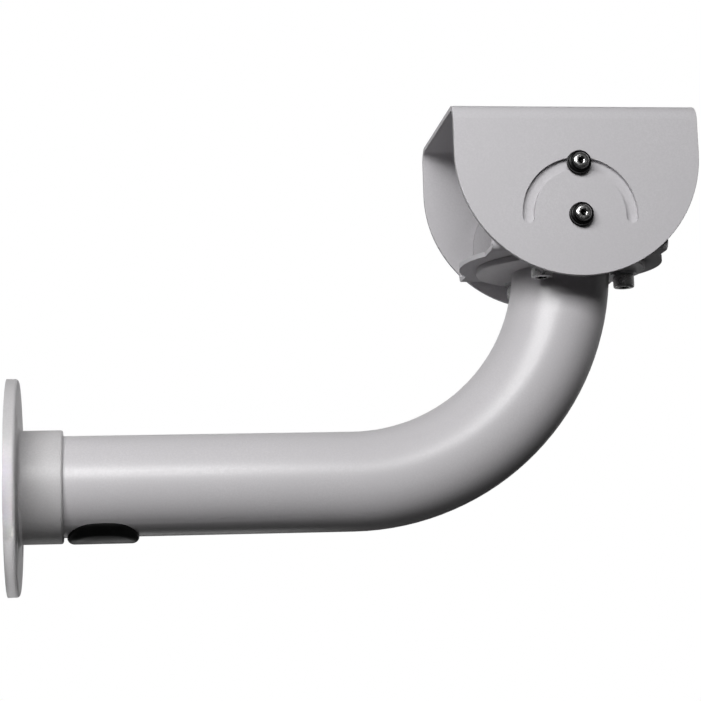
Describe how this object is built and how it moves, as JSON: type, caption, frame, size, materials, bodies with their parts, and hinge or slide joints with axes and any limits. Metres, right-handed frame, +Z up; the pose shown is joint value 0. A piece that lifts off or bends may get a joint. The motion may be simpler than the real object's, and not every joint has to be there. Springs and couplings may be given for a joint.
{
  "type": "camera wall bracket",
  "caption": "Gooseneck wall bracket for a security camera: round wall flange, bent tube, and a pan and tilt head with a slotted saddle.",
  "frame": {"origin": "centre of the wall flange's back face, on the wall", "axes": "+X out from the wall along the tube's straight run, +Z up, along the pan axis; +Y to the left seen from the wall"},
  "size_m": [0.4125, 0.1298, 0.2835],
  "materials": {
    "grey_powder_coat": "fine matte powder coat",
    "black_rubber": "satin",
    "black_nylon": "matte",
    "bright_steel": "bright turned",
    "blackened_steel": "satin black",
    "zinc_plated_steel": "zinc plated"
  },
  "bodies": {
    "arm": {"wall_flange": "grey_powder_coat", "arm_tube": "grey_powder_coat", "cable_grommet": "black_rubber", "pan_flange": "grey_powder_coat", "pan_bush": "black_nylon", "pan_bolt_1": "bright_steel", "pan_washer_1": "zinc_plated_steel", "slot_washer_1": "zinc_plated_steel", "pan_nut_1": "zinc_plated_steel", "pan_bolt_2": "bright_steel", "pan_washer_2": "zinc_plated_steel", "slot_washer_2": "zinc_plated_steel", "pan_nut_2": "zinc_plated_steel", "pan_bolt_3": "bright_steel", "pan_washer_3": "zinc_plated_steel", "slot_washer_3": "zinc_plated_steel", "pan_nut_3": "zinc_plated_steel"},
    "pan_head": {"pan_yoke": "grey_powder_coat", "pivot_bolt_front": "bright_steel", "pivot_washer_front": "blackened_steel", "pivot_nut_front": "zinc_plated_steel", "pivot_bolt_rear": "bright_steel", "pivot_washer_rear": "blackened_steel", "pivot_nut_rear": "zinc_plated_steel", "lock_bolt_front": "bright_steel", "lock_washer_front": "blackened_steel", "lock_nut_front": "zinc_plated_steel", "lock_bolt_rear": "bright_steel", "lock_washer_rear": "blackened_steel", "lock_nut_rear": "zinc_plated_steel"},
    "tilt_head": {"tilt_saddle": "grey_powder_coat"}
  },
  "joints": [
    {"name": "pan", "type": "hinge", "parent": "arm", "child": "pan_head", "pos_m": [0.338, 0, 0.131], "axis": [0, 0, 1], "range_deg": [-40, 40]},
    {"name": "tilt", "type": "hinge", "parent": "pan_head", "child": "tilt_head", "pos_m": [0.338, 0, 0.151], "axis": [0, 1, 0], "range_deg": [-90, 90]}
  ]
}
